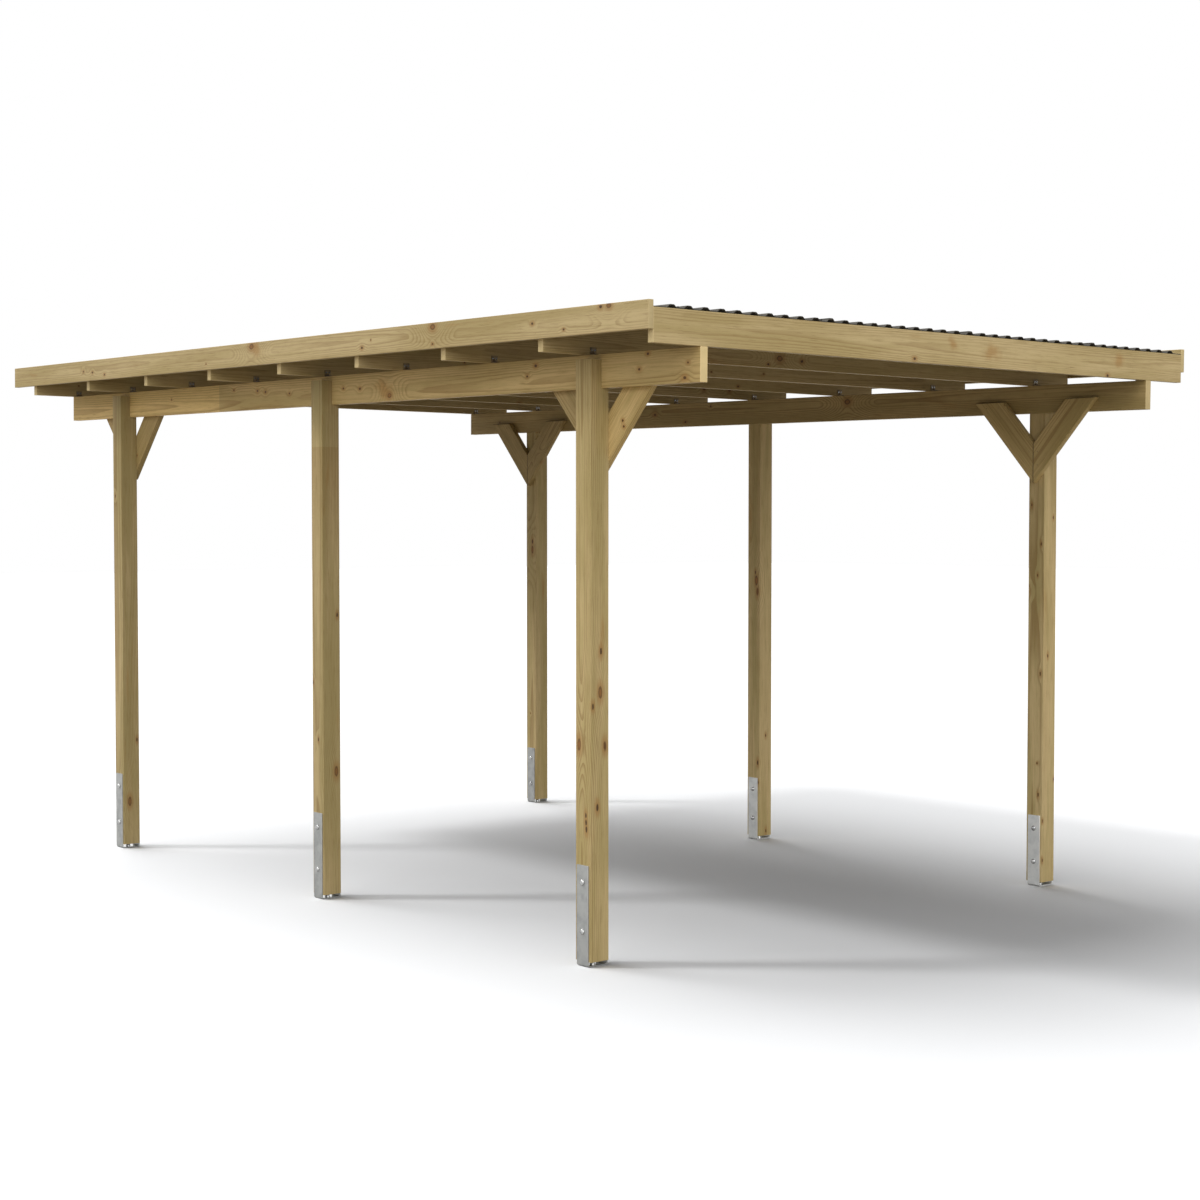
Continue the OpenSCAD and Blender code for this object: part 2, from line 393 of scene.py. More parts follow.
pineMix = {
    # depth: how much of a shade covers what lies below it
    "stainRange": (0.38, 0.64),
    "streakRange": (0.46, 0.74),
    "streakDepth": 0.65,
    "rustDepth": 0.6,
    "fibreRange": (0.5, 0.78),
    "fibreDepth": 0.85,
    "endDepth": 0.6,
    "haloDepth": 0.6,
    "knotDepth": 0.9,
    "rimDepth": 0.7,
    "patchScale": 16.0,  # ragged outline of the set stains
    "patchDepth": 1.6,
    "patchRange": (1.7, 0.9),
    "darkest": 0.75,  # brightness of a board with tone 0
    "toneDepth": 0.5,
    "roughness": (0.2, 0.8, 0.52, 0.74),
    "specular": 0.3,
    "bump": 0.35,
    "bumpDepth": 0.8 * mm,
}


def makePine(name, finish, spots=(), stains=(), joint=None, shape=(1, 1, 1)):
    # spots and stains: place in metres and radius in mm of the knots and brown patches that are set
    material, tree, shader = newMaterial(name)
    uv = addNode(tree, "ShaderNodeUVMap", uv_map="grainUv").outputs["UV"]
    co = addNode(tree, "ShaderNodeAttribute", attribute_name="boardCo").outputs["Vector"]
    end = addNode(tree, "ShaderNodeAttribute", attribute_name="endGrain").outputs["Fac"]
    tone = addNode(tree, "ShaderNodeAttribute", attribute_name="boardTone").outputs["Fac"]
    place = tree.nodes.new("ShaderNodeTexCoord").outputs["Object"]

    def nearest(marks):
        ratio, size, bend = knotLook["farAway"], 0.0, 0.0
        for x, y, z, radius in marks:
            radius *= mm
            swirl = knotLook["swirlDepth"] if radius >= knotLook["swirlFrom"] else 0.0
            ratio, size, bend = useGroup(tree, knotSpot, {
                "Co": place, "Centre": (x, y, z), "Shape": shape, "Radius": radius, "Swirl": swirl,
                "Ratio": ratio, "Size": size, "Bend": bend})
        return ratio, size, bend

    def cover(below, shade, depth, *masks):
        return blendColor(tree, times(tree, *masks, depth), below, shade)

    ratio, size, bend = nearest(spots)
    knotShare = finish["knotShare"] * (knotLook["strayShare"] if spots else 1.0)
    grain = useGroup(tree, boardGrain, {
        "Face Uv": uv, "Board Co": co, "Ring Width": finish["ringWidth"],
        "Knot Spacing": finish["knotSpacing"], "Knot Size": finish["knotSize"], "Knot Share": knotShare,
        "Spot Ratio": ratio, "Spot Size": size, "Spot Bend": bend})
    side = calc(tree, "SUBTRACT", 1.0, end)

    stain = ramp(tree, grain["Stain"], *pineMix["stainRange"])
    color = blendColor(tree, stain, finish["straw"], finish["olive"])
    streak = ramp(tree, grain["Streak"], *pineMix["streakRange"])
    color = cover(color, finish["olive"], pineMix["streakDepth"], streak)
    rust = grain["Rust"]
    if stains:
        ragged = noise(tree, co, pineMix["patchScale"], 3.0)
        patch = calc(tree, "MULTIPLY_ADD", ragged, pineMix["patchDepth"], nearest(stains)[0])
        rust = calc(tree, "MAXIMUM", rust, ramp(tree, patch, *pineMix["patchRange"]))
    color = cover(color, pineShades["rust"], pineMix["rustDepth"], rust)
    if joint:
        part = addNode(tree, "ShaderNodeSeparateXYZ", {"Vector": place}).outputs
        past = times(tree, calc(tree, "SUBTRACT", part[joint["axis"]], joint["place"]), joint["side"])
        fading = ramp(tree, past, joint["fade"], 0.0)
        color = cover(color, joint["shade"], joint["depth"], fading, calc(tree, "GREATER_THAN", past, 0.0))
    color = cover(color, pineShades["ring"], finish["ringDepth"], grain["Rings"])
    fibre = ramp(tree, grain["Fibre"], *pineMix["fibreRange"])
    color = cover(color, pineShades["fibre"], pineMix["fibreDepth"], fibre, side)
    # cut ends: pale end grain on most boards; on the braces painted shade along the mitre seam and the cut
    # tops
    color = cover(color, finish["cutEnd"], pineMix["endDepth"], end)
    color = cover(color, pineShades["halo"], pineMix["haloDepth"], grain["Halo"], side)
    knotColor = blendColor(tree, grain["Big Knot"], pineShades["knot"], pineShades["redKnot"])
    color = cover(color, knotColor, pineMix["knotDepth"], grain["Knot"], side)
    color = cover(color, pineShades["knot"], pineMix["rimDepth"], grain["Rim"], grain["Big Knot"], side)
    value = calc(tree, "MULTIPLY_ADD", tone, pineMix["toneDepth"], pineMix["darkest"])
    color = addNode(tree, "ShaderNodeHueSaturation", {"Color": color, "Value": value}).outputs["Color"]
    feed(tree, shader.inputs["Base Color"], color)
    feed(tree, shader.inputs["Roughness"], ramp(tree, grain["Fibre"], *pineMix["roughness"]))
    shader.inputs["Specular IOR Level"].default_value = pineMix["specular"]
    addBump(tree, shader, pineMix["bump"], pineMix["bumpDepth"], grain["Height"])
    return material


# weathering: cloudy patches and fine specks that metal and roofing share
weatherLook = {"patchRange": (0.35, 0.7), "speckRange": (0.45, 0.75)}


def makeWeathering(look):
    inputs = {"Co": "Vector", "Patch Scale": "Float", "Speck Scale": "Float"}
    outputs = {"Patch": "Float", "Speck": "Float"}
    tree, given, result = newGroup("weathering", "ShaderNodeTree", inputs, outputs)
    patch = noise(tree, given["Co"], given["Patch Scale"], 4.0, 0.6)
    feed(tree, result["Patch"], ramp(tree, patch, *look["patchRange"]))
    speck = noise(tree, given["Co"], given["Speck Scale"], 2.0, 0.7)
    feed(tree, result["Speck"], ramp(tree, speck, *look["speckRange"]))
    return tree


weathering = makeWeathering(weatherLook)


def addWear(tree, co, finish):
    return useGroup(tree, weathering, {"Co": co, "Patch Scale": finish["patchScale"],
                                       "Speck Scale": finish["speckScale"]})


plateWear = {"patchScale": 22.0, "speckScale": 420.0}
boltWear = {"patchScale": 60.0, "speckScale": 700.0}
screwWear = {"patchScale": 50.0, "speckScale": 600.0}
metalFinishes = {
    "galvanised": {"pale": tint(162, 163, 161), "dull": tint(145, 147, 146), "metallic": 0.5,
                   "smooth": 0.34, "rough": 0.52, "bump": 0.12, **plateWear},
    # painted light: a paler copy of the galvanised zinc, for the anchors in the roof's shade
    "newZinc": {"pale": tint(214, 215, 213), "dull": tint(196, 198, 197), "metallic": 0.4,
                "smooth": 0.34, "rough": 0.52, "bump": 0.12, **plateWear},
    # partly painted light: paler and mirror-smooth, for the plate's top in the shade under the post
    "smoothZinc": {"pale": tint(226, 227, 225), "dull": tint(206, 208, 207), "metallic": 1.0,
                   "smooth": 0.06, "rough": 0.14, "bump": 0.03, **plateWear},
    "brightZinc": {"pale": tint(190, 190, 188), "dull": tint(146, 147, 148), "metallic": 0.7,
                   "smooth": 0.1, "rough": 0.22, "bump": 0.05, **boltWear},
    "brownZinc": {"pale": tint(172, 148, 102), "dull": tint(132, 110, 72), "metallic": 0.1,
                  "smooth": 0.5, "rough": 0.65, "bump": 0.08, **screwWear},
    "agedZinc": {"pale": tint(140, 121, 88), "dull": tint(98, 82, 54), "metallic": 0.2,
                 "smooth": 0.42, "rough": 0.6, "bump": 0.08, **screwWear},
    "darkCoat": {"pale": tint(58, 54, 48), "dull": tint(34, 31, 28), "metallic": 0.55,
                 "smooth": 0.36, "rough": 0.58, "bump": 0.08, **screwWear},
}
metalMix = {"speckDepth": 0.25, "bumpDepth": 0.3 * mm}


def makeMetal(name, finish):
    material, tree, shader = newMaterial(name)
    co = tree.nodes.new("ShaderNodeTexCoord").outputs["Object"]
    wear = addWear(tree, co, finish)
    color = blendColor(tree, wear["Patch"], finish["pale"], finish["dull"])
    color = blendColor(tree, times(tree, wear["Speck"], metalMix["speckDepth"]), color, finish["dull"])
    feed(tree, shader.inputs["Base Color"], color)
    roughness = ramp(tree, wear["Patch"], 0.0, 1.0, finish["smooth"], finish["rough"])
    feed(tree, shader.inputs["Roughness"], roughness)
    shader.inputs["Metallic"].default_value = finish["metallic"]
    addBump(tree, shader, finish["bump"], metalMix["bumpDepth"], wear["Speck"])
    return material


metal = {name: makeMetal(name, finish) for name, finish in metalFinishes.items()}

roofFinish = {
    "dark": tint(60, 58, 54),
    "faded": tint(90, 87, 80),
    "dust": tint(128, 121, 108),
    "patchScale": 3.0,
    "speckScale": 900.0,
    "fadedLeast": 0.2,
    "fadedMore": 0.3,  # where it is patchy
    "runStretch": (34.0, 0.7, 1.0),  # rain streaks down the slope
    "runRange": (0.52, 0.8),
    "runDepth": 0.22,
    "speckDepth": 0.3,
    "roughness": (0.8, 0.92),
    "specular": 0.15,
    "bump": 0.2,
    "bumpDepth": 0.4 * mm,
}


def makeRoofing(finish):
    material, tree, shader = newMaterial("roofing")
    co = tree.nodes.new("ShaderNodeTexCoord").outputs["Object"]
    wear = addWear(tree, co, finish)
    faded = calc(tree, "MULTIPLY_ADD", wear["Patch"], finish["fadedMore"], finish["fadedLeast"])
    color = blendColor(tree, faded, finish["dark"], finish["faded"])
    runs = noise(tree, stretch(tree, co, finish["runStretch"]), 1.0, 3.0, 0.6)
    runs = times(tree, ramp(tree, runs, *finish["runRange"]), finish["runDepth"])
    color = blendColor(tree, runs, color, finish["dust"])
    color = blendColor(tree, times(tree, wear["Speck"], finish["speckDepth"]), color, finish["dark"])
    feed(tree, shader.inputs["Base Color"], color)
    feed(tree, shader.inputs["Roughness"], ramp(tree, wear["Speck"], 0.0, 1.0, *finish["roughness"]))
    shader.inputs["Specular IOR Level"].default_value = finish["specular"]
    addBump(tree, shader, finish["bump"], finish["bumpDepth"], wear["Speck"])
    return material


roofing = makeRoofing(roofFinish)
print("materials ready:", len(bpy.data.materials))


# pieces
def nodesOf(kind):
    return sorted(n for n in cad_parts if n.startswith(kind + "_"))


def addPiece(name, mesh, replaced=()):
    piece = bpy.data.objects.new(name, mesh)
    scene.collection.objects.link(piece)
    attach(piece, "root")
    if replaced:
        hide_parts(*replaced)


def mergedCopy(node):
    # the node's solid with its loose triangles joined to flat faces
    bm = bmesh.new()
    bm.from_mesh(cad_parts[node].data)
    bmesh.ops.remove_doubles(bm, verts=bm.verts, dist=0.01 * mm)
    bmesh.ops.dissolve_limit(bm, angle_limit=math.radians(0.2), verts=bm.verts, edges=bm.edges)
    bm.normal_update()
    return bm


def easeEdges(bm, width, segments):
    corner = math.radians(30)
    sharp = [e for e in bm.edges if e.is_manifold and e.is_convex and e.calc_face_angle() > corner]
    bmesh.ops.bevel(bm, geom=sharp, offset=width, segments=segments, profile=0.5, affect="EDGES",
                    clamp_overlap=True)


def keepMesh(bm, name):
    mesh = bpy.data.meshes.new(name)
    bm.to_mesh(mesh)
    bm.free()
    return mesh


def shadeByArea(mesh, limit):
    # flat faces stay flat, and only the narrow strips along their edges are smooth
    for face in mesh.polygons:
        face.use_smooth = face.area < limit


def setAttribute(mesh, name, kind, domain, values):
    field = "vector" if kind == "FLOAT_VECTOR" else "value"
    mesh.attributes.new(name, kind, domain).data.foreach_set(field, np.ravel(values))


timber = [
    # the nodes' first word, finish, eased edge, how far the heart of the log lies from the board,
    # and a knot's width for its length
    {"kind": "post", "finish": "postPine", "ease": 1.5 * mm, "heart": (0.02, 0.06), "knotShape": 0.4},
    {"kind": "beam", "finish": "beamPine", "ease": 2.0 * mm, "heart": (0.02, 0.07), "knotShape": 0.7},
    {"kind": "brace", "finish": "bracePine", "ease": 3.0 * mm, "heart": (0.02, 0.07), "knotShape": 0.7},
    {"kind": "rafter", "finish": "roofPine", "ease": 1.5 * mm, "heart": (0.02, 0.07), "knotShape": 0.7},
    {"kind": "fascia", "finish": "roofPine", "ease": 1.5 * mm, "heart": (0.02, 0.07), "knotShape": 0.7},
]
boardLook = {
    "easeSegments": 3,
    "smoothBelow": 0.004,  # square metres
    "tones": (0.42, 0.58),
    "heartAside": 0.4,  # of half the board's width
    "logShift": 40.0,  # metres along the grain, by chance
    "faceShift": 30.0,  # metres across it, for each face
    "endFacing": 0.1,  # faces turned this much to the end show cut grain
    "seed": 7,
}
boardTonesAndLight = {
    # brightness of single boards, 0.5 in the middle; the others get one by chance
    "post_front_left": 0.58, "post_middle_left": 0.25, "post_back_left": 0.24,
    "post_front_right": 0.75, "post_middle_right": 0.90, "post_back_right": 0.75,
    # beam_left's tone is partly painted light, brightening it in the shade of the roof's overhang
    "fascia_left": 0.30, "rafter_1": 0.55, "beam_left": 1.25, "beam_right": 0.52,
    "brace_front_left_fore": 1.35, "brace_front_right_fore": 0.90, "brace_front_right_aft": 0.90,
}
boardSpots = {
    # knots with a set place: x, y and z in metres, radius in mm
    "beam_left": [
        (-1.376, -2.340, 2.344, 6), (-1.376, -2.291, 2.289, 6), (-1.376, -2.561, 2.298, 5),
        (-1.376, -1.666, 2.339, 7), (-1.376, -1.611, 2.300, 5.5), (-1.376, -0.405, 2.312, 6.5),
        (-1.376, -0.271, 2.320, 5.5), (-1.376, 0.476, 2.346, 6.5), (-1.376, 0.403, 2.338, 6.5),
        (-1.376, 0.188, 2.320, 5.5), (-1.376, -0.637, 2.271, 10), (-1.376, 0.697, 2.361, 5),
        (-1.376, 1.323, 2.344, 4),
    ],
    "beam_right": [
        (1.340, 0.676, 2.335, 8), (1.340, 0.420, 2.284, 6.5), (1.340, -0.814, 2.340, 13),
    ],
    "brace_back_right_fore": [
        (1.310, 1.678, 2.078, 11),
    ],
    "brace_front_left_fore": [
        (-1.340, -2.155, 2.104, 7), (-1.340, -2.161, 2.081, 7),
    ],
    "fascia_left": [
        (-1.628, -2.412, 2.500, 9), (-1.628, -2.366, 2.499, 7), (-1.628, -1.964, 2.468, 5.5),
        (-1.628, -2.152, 2.432, 4.5), (-1.628, -0.803, 2.453, 6), (-1.628, -1.315, 2.435, 4.5),
        (-1.628, -1.316, 2.503, 11), (-1.628, 1.795, 2.502, 5.5), (-1.628, 1.693, 2.491, 5.5),
        (-1.628, 1.559, 2.473, 5.5), (-1.628, 0.102, 2.518, 12),
    ],
    "post_back_left": [
        (-1.396, 1.773, 0.247, 9), (-1.352, 1.773, 0.571, 5), (-1.430, 1.841, 1.859, 4.5),
    ],
    "post_back_right": [
        (1.340, 1.806, 1.606, 7), (1.340, 1.806, 1.557, 9),
    ],
    "post_front_left": [
        (-1.379, -2.072, 1.220, 6.5), (-1.430, -2.043, 0.588, 5.5), (-1.430, -2.044, 0.561, 6),
        (-1.430, -2.046, 0.534, 6.5), (-1.430, -2.002, 0.859, 9), (-1.359, -2.072, 0.854, 8),
        (-1.382, -2.072, 1.062, 9), (-1.419, -2.072, 1.010, 5.5), (-1.397, -2.072, 0.619, 7),
    ],
    "post_front_right": [
        (1.340, -2.055, 1.006, 4.6), (1.340, -2.048, 0.434, 5), (1.340, -2.055, 1.619, 4.2),
        (1.340, -1.999, 1.800, 3.6), (1.340, -2.036, 1.471, 3.6), (1.373, -2.072, 1.091, 4.6),
        (1.407, -2.072, 1.741, 3.6), (1.345, -2.072, 0.311, 3.6), (1.345, -2.072, 0.126, 4),
        (1.424, -2.072, 0.503, 3.6),
    ],
    "post_middle_left": [
        (-1.354, -0.177, 1.297, 5), (-1.362, -0.177, 0.583, 9), (-1.430, -0.134, 0.729, 4.5),
    ],
    "post_middle_right": [
        (1.340, -0.151, 1.407, 10), (1.340, -0.159, 1.347, 8.5), (1.340, -0.144, 1.450, 5),
        (1.340, -0.165, 0.419, 6.5), (1.340, -0.168, 0.313, 4.5), (1.388, -0.177, 0.566, 4.5),
        (1.391, -0.177, 0.046, 5),
    ],
    "rafter_1": [
        (-0.214, -2.630, 2.368, 6),
    ],
    "rafter_2": [
        (-0.341, -2.001, 2.401, 11),
    ],
}
boardStains = {
    # brown patches with a set place, in the same way
    "beam_left": [
        (-1.376, -0.600, 2.300, 60),
    ],
    "fascia_left": [
        (-1.628, 0.060, 2.500, 50),
    ],
    "rafter_1": [
        (0.260, -2.630, 2.418, 55), (1.145, -2.630, 2.431, 45), (0.020, -2.630, 2.440, 40),
    ],
}
boardJoints = {
    # finger joints: where the timber changes, which side of it is shaded and how far along
    "post_middle_left": {"axis": "Z", "place": 2.06, "side": -1, "fade": 0.6,
                         "shade": tint(140, 105, 52), "depth": 0.28},
    "beam_left": {"axis": "Y", "place": 0.84, "side": 1, "fade": 4.0,
                  "shade": tint(235, 200, 130), "depth": 0.28},
}


def boardAxes(bm):
    # across, through and along the board
    longest = max(bm.edges, key=lambda e: e.calc_length())
    along = (longest.verts[1].co - longest.verts[0].co).normalized()
    broad = max(bm.faces, key=lambda f: f.calc_area()).normal.copy()
    across = broad.cross(along).normalized()
    return np.array([across, along.cross(across).normalized(), along])


def markGrain(mesh, axes, heart, tone, dice):
    points = np.zeros(len(mesh.vertices) * 3)
    mesh.vertices.foreach_get("co", points)
    local = points.reshape(-1, 3) @ axes.T
    local -= (local.min(0) + local.max(0)) / 2
    half = local.max(0)
    aside = boardLook["heartAside"]
    shift = np.array([dice.uniform(-aside, aside) * half[0], half[1] + dice.uniform(*heart),
                      dice.uniform(0, boardLook["logShift"])])
    if dice.random() < 0.5:
        shift[1] = -shift[1]
    setAttribute(mesh, "boardCo", "FLOAT_VECTOR", "POINT", local + shift)
    setAttribute(mesh, "boardTone", "FLOAT", "POINT", np.full(len(mesh.vertices), tone))

    normals = np.zeros(len(mesh.polygons) * 3)
    mesh.polygons.foreach_get("normal", normals)
    facing = normals.reshape(-1, 3) @ axes.T
    side = np.abs(facing).argmax(1)
    cut = np.abs(facing[:, 2]) > boardLook["endFacing"]
    setAttribute(mesh, "endGrain", "FLOAT", "FACE", cut.astype(float))
    uv = np.zeros((len(mesh.loops), 2))
    faceShift = {(s, d): dice.uniform(0, boardLook["faceShift"]) for s in range(3) for d in (False, True)}
    for face in mesh.polygons:
        s = side[face.index]
        flip = bool(facing[face.index, s] > 0)
        u, v = ((1, 2), (0, 2), (0, 1))[s]
        corners = [mesh.loops[i].vertex_index for i in face.loop_indices]
        uv[list(face.loop_indices)] = local[corners][:, [u, v]] + [faceShift[s, flip], shift[2]]
    mesh.uv_layers.new(name="grainUv").data.foreach_set("uv", uv.ravel())


def makeTimber(setup, node, dice):
    bm = mergedCopy(node)
    axes = boardAxes(bm)
    easeEdges(bm, setup["ease"], boardLook["easeSegments"])
    mesh = keepMesh(bm, node)
    tone = boardTonesAndLight.get(node, dice.uniform(*boardLook["tones"]))
    markGrain(mesh, axes, setup["heart"], tone, dice)
    shadeByArea(mesh, boardLook["smoothBelow"])
    name, spots, stains = setup["finish"], boardSpots.get(node, ()), boardStains.get(node, ())
    if spots:
        name += "_" + node
    if name not in pine:
        # knots go through a board but not a post, and are longer along the grain
        shape = np.abs(axes[0]) + setup["knotShape"] * np.abs(axes[2])
        if setup["kind"] == "post":
            shape += np.abs(axes[1])
        finish = pineFinishes[setup["finish"]]
        pine[name] = makePine(name, finish, spots, stains, boardJoints.get(node), shape)
    mesh.materials.append(pine[name])
    addPiece(node + "_timber", mesh, [node])


pine = {}
dice = random.Random(boardLook["seed"])
for setup in timber:
    for node in nodesOf(setup["kind"]):
        makeTimber(setup, node, dice)


# the roof's sloping frame: Y along the beams, Z square to the roof
def roofSlope():
    bm = mergedCopy("beam_left")
    along = boardAxes(bm)[2]
    bm.free()
    along = along if along[1] > 0 else -along
    return math.atan2(along[2], along[1])


slope = roofSlope()
toRoof = Matrix.Rotation(-slope, 3, "X")
fromRoof = Matrix.Rotation(slope, 3, "X")
up = Vector((0, 0, 1))
roofUp = fromRoof @ up
roofAlong = fromRoof @ Vector((0, 1, 0))


def roofBox(node):
    points = np.array([toRoof @ v.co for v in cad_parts[node].data.vertices])
    return Vector(points.min(0)), Vector(points.max(0))


rafterBoxes = [roofBox(node) for node in nodesOf("rafter")]


# geometry trees
def newTree(name, inputs):
    tree, given, result = newGroup(name, "GeometryNodeTree", inputs, {"Geometry": "Geometry"})
    tree.is_modifier = True
    return tree, given, result


def endTree(tree, geometry, material, result):
    real = addNode(tree, "GeometryNodeRealizeInstances", {"Geometry": geometry}).outputs[0]
    done = addNode(tree, "GeometryNodeSetMaterial", {"Geometry": real, "Material": material}).outputs[0]
    feed(tree, result["Geometry"], done)


def growMesh(name, tree, values, base=None):
    # runs a tree on a base mesh and keeps the result as a plain mesh
    holder = bpy.data.objects.new(name, base or bpy.data.meshes.new(name + "Base"))
    scene.collection.objects.link(holder)
    modifier = holder.modifiers.new("grow", "NODES")
    modifier.node_group = tree
    for item in tree.interface.items_tree:
        if item.item_type == "SOCKET" and item.in_out == "INPUT" and item.name in values:
            modifier[item.identifier] = values[item.name]
    bpy.context.view_layer.update()
    depsgraph = bpy.context.evaluated_depsgraph_get()
    grown = bpy.data.meshes.new_from_object(holder.evaluated_get(depsgraph))
    holder.modifiers.remove(modifier)
    bpy.data.objects.remove(holder)
    grown.name = name
    return grown


sheets = {
    "pitch": 82 * mm,
    "waveHeight": 11 * mm,
    "crestWidth": 22 * mm,
    "flankWidth": 12 * mm,
    "crestFlat": 0.36,  # share of the crest's width, either side of its middle
    "thickness": 3 * mm,
    "firstCrests": (0, 10, 20, 30),  # each sheet's first crest
    "lastCrest": 37,
    "columnStep": 2.5 * mm,
    "sharpAngle": 40.0,  # degrees
}


def makeSheetTree():
    floats = ("Left", "Right", "Front", "Length", "Base", "Pitch", "Wave Height", "Crest Width",
              "Crest Flat", "Flank Width", "Thickness", "Crest Zero", "First Crest", "Last Crest",
              "Lap Lift", "Slope")
    inputs = {"Geometry": "Geometry", **dict.fromkeys(floats, "Float"),
              "Columns": "Int", "Material": "Material"}
    tree, given, result = newTree("corrugatedSheet", inputs)
    width = calc(tree, "SUBTRACT", given["Right"], given["Left"])
    grid = addNode(tree, "GeometryNodeMeshGrid", {"Size X": width, "Size Y": given["Length"],
                                                  "Vertices X": given["Columns"], "Vertices Y": 2})
    position = tree.nodes.new("GeometryNodeInputPosition").outputs[0]
    spot = addNode(tree, "ShaderNodeSeparateXYZ", {"Vector": position}).outputs
    x = calc(tree, "ADD", calc(tree, "MULTIPLY_ADD", width, 0.5, given["Left"]), spot["X"])
    y = calc(tree, "ADD", calc(tree, "MULTIPLY_ADD", given["Length"], 0.5, given["Front"]), spot["Y"])

    # distance from the nearest crest that this sheet has
    count = calc(tree, "DIVIDE", calc(tree, "SUBTRACT", x, given["Crest Zero"]), given["Pitch"])
    nearest = calc(tree, "MAXIMUM", calc(tree, "ROUND", count), given["First Crest"])
    nearest = calc(tree, "MINIMUM", nearest, given["Last Crest"])
    away = calc(tree, "ABSOLUTE", times(tree, calc(tree, "SUBTRACT", count, nearest), given["Pitch"]))
    inner = times(tree, given["Crest Width"], given["Crest Flat"])
    outer = calc(tree, "ADD", calc(tree, "SUBTRACT", given["Crest Width"], inner), given["Flank Width"])
    wave = times(tree, ramp(tree, away, inner, outer, 1.0, 0.0), given["Wave Height"])

    # the first crest of a sheet that laps another lies on it
    lapX = calc(tree, "MULTIPLY_ADD", given["First Crest"], given["Pitch"], given["Crest Zero"])
    lapStart, lapEnd = calc(tree, "ADD", lapX, inner), calc(tree, "ADD", lapX, outer)
    lap = times(tree, ramp(tree, x, lapStart, lapEnd, 1.0, 0.0), given["Lap Lift"])
    z = calc(tree, "ADD", calc(tree, "ADD", wave, lap), given["Base"])
    bent = addNode(tree, "GeometryNodeSetPosition", {
        "Geometry": grid.outputs["Mesh"],
        "Position": addNode(tree, "ShaderNodeCombineXYZ", {"X": x, "Y": y, "Z": z}).outputs[0]}).outputs[0]

    rise = addNode(tree, "ShaderNodeCombineXYZ", {"Z": given["Thickness"]}).outputs[0]
    upper = addNode(tree, "GeometryNodeExtrudeMesh", {"Mesh": bent, "Offset": rise, "Offset Scale": 1.0,
                                                      "Individual": False}, mode="FACES").outputs["Mesh"]
    lower = addNode(tree, "GeometryNodeFlipFaces", {"Mesh": bent}).outputs[0]
    both = addNode(tree, "GeometryNodeJoinGeometry")
    tree.links.new(upper, both.inputs[0])
    tree.links.new(lower, both.inputs[0])
    closed = addNode(tree, "GeometryNodeMergeByDistance", {"Geometry": both.outputs[0],
                                                           "Distance": 0.01 * mm}).outputs[0]
    tilt = addNode(tree, "ShaderNodeCombineXYZ", {"X": given["Slope"]}).outputs[0]
    laid = addNode(tree, "GeometryNodeTransform", {"Geometry": closed, "Rotation": tilt}).outputs[0]
    endTree(tree, laid, given["Material"], result)
    return tree


def makeSheets(setup):
    tree = makeSheetTree()
    crestZero = -setup["lastCrest"] / 2 * setup["pitch"]
    ends = list(setup["firstCrests"][1:]) + [setup["lastCrest"]]
    for number, (first, last) in enumerate(zip(setup["firstCrests"], ends), 1):
        node = f"roof_sheet_{number}"
        low, high = roofBox(node)
        values = {
            "Left": low.x, "Right": high.x, "Front": low.y, "Length": high.y - low.y, "Base": low.z,
            "Pitch": setup["pitch"], "Wave Height": setup["waveHeight"],
            "Crest Width": setup["crestWidth"], "Crest Flat": setup["crestFlat"],
            "Flank Width": setup["flankWidth"], "Thickness": setup["thickness"],
            "Crest Zero": crestZero, "First Crest": float(first), "Last Crest": float(last),
            "Lap Lift": setup["thickness"] if first else 0.0, "Slope": slope,
            "Columns": round((high.x - low.x) / setup["columnStep"]), "Material": roofing,
        }
        mesh = growMesh(node + "_waves", tree, values)
        mesh.shade_smooth()
        mesh.set_sharp_from_angle(angle=math.radians(setup["sharpAngle"]))
        addPiece(node + "_waves", mesh, [node])


makeSheets(sheets)
print("roof sheets waved")


# fasteners: one shape on every point, turned to face outwards
def makeFastenerTree():
    inputs = {"Geometry": "Geometry", "Shape": "Object", "Spin": "Float", "Seed": "Int",
              "Material": "Material"}
    tree, given, result = newTree("fastenerRow", inputs)
    facing, upright = (
        addNode(tree, "GeometryNodeInputNamedAttribute", {"Name": name}, data_type="FLOAT_VECTOR").outputs[0]
        for name in ("facing", "upright"))
    turned = addNode(tree, "FunctionNodeAlignRotationToVector", {"Vector": facing}, axis="Z").outputs[0]
    turned = addNode(tree, "FunctionNodeAlignRotationToVector", {"Rotation": turned, "Vector": upright},
                     axis="Y", pivot_axis="Z").outputs[0]
    angle = addNode(tree, "FunctionNodeRandomValue", data_type="FLOAT")
    for socket in angle.inputs:
        if socket.enabled and socket.name == "Max":
            feed(tree, socket, given["Spin"])
        elif socket.enabled and socket.name == "Seed":
            feed(tree, socket, given["Seed"])
    angle = next(s for s in angle.outputs if s.enabled)
    spun = addNode(tree, "FunctionNodeAxisAngleToRotation", {"Axis": (0, 0, 1), "Angle": angle}).outputs[0]
    turned = addNode(tree, "FunctionNodeRotateRotation", {"Rotation": turned, "Rotate By": spun},
                     rotation_space="LOCAL").outputs[0]
    shape = addNode(tree, "GeometryNodeObjectInfo", {"Object": given["Shape"]}).outputs["Geometry"]
    placed = addNode(tree, "GeometryNodeInstanceOnPoints", {"Points": given["Geometry"], "Instance": shape,
                                                            "Rotation": turned}).outputs[0]
    endTree(tree, placed, given["Material"], result)
    return tree


fastenerTree = makeFastenerTree()


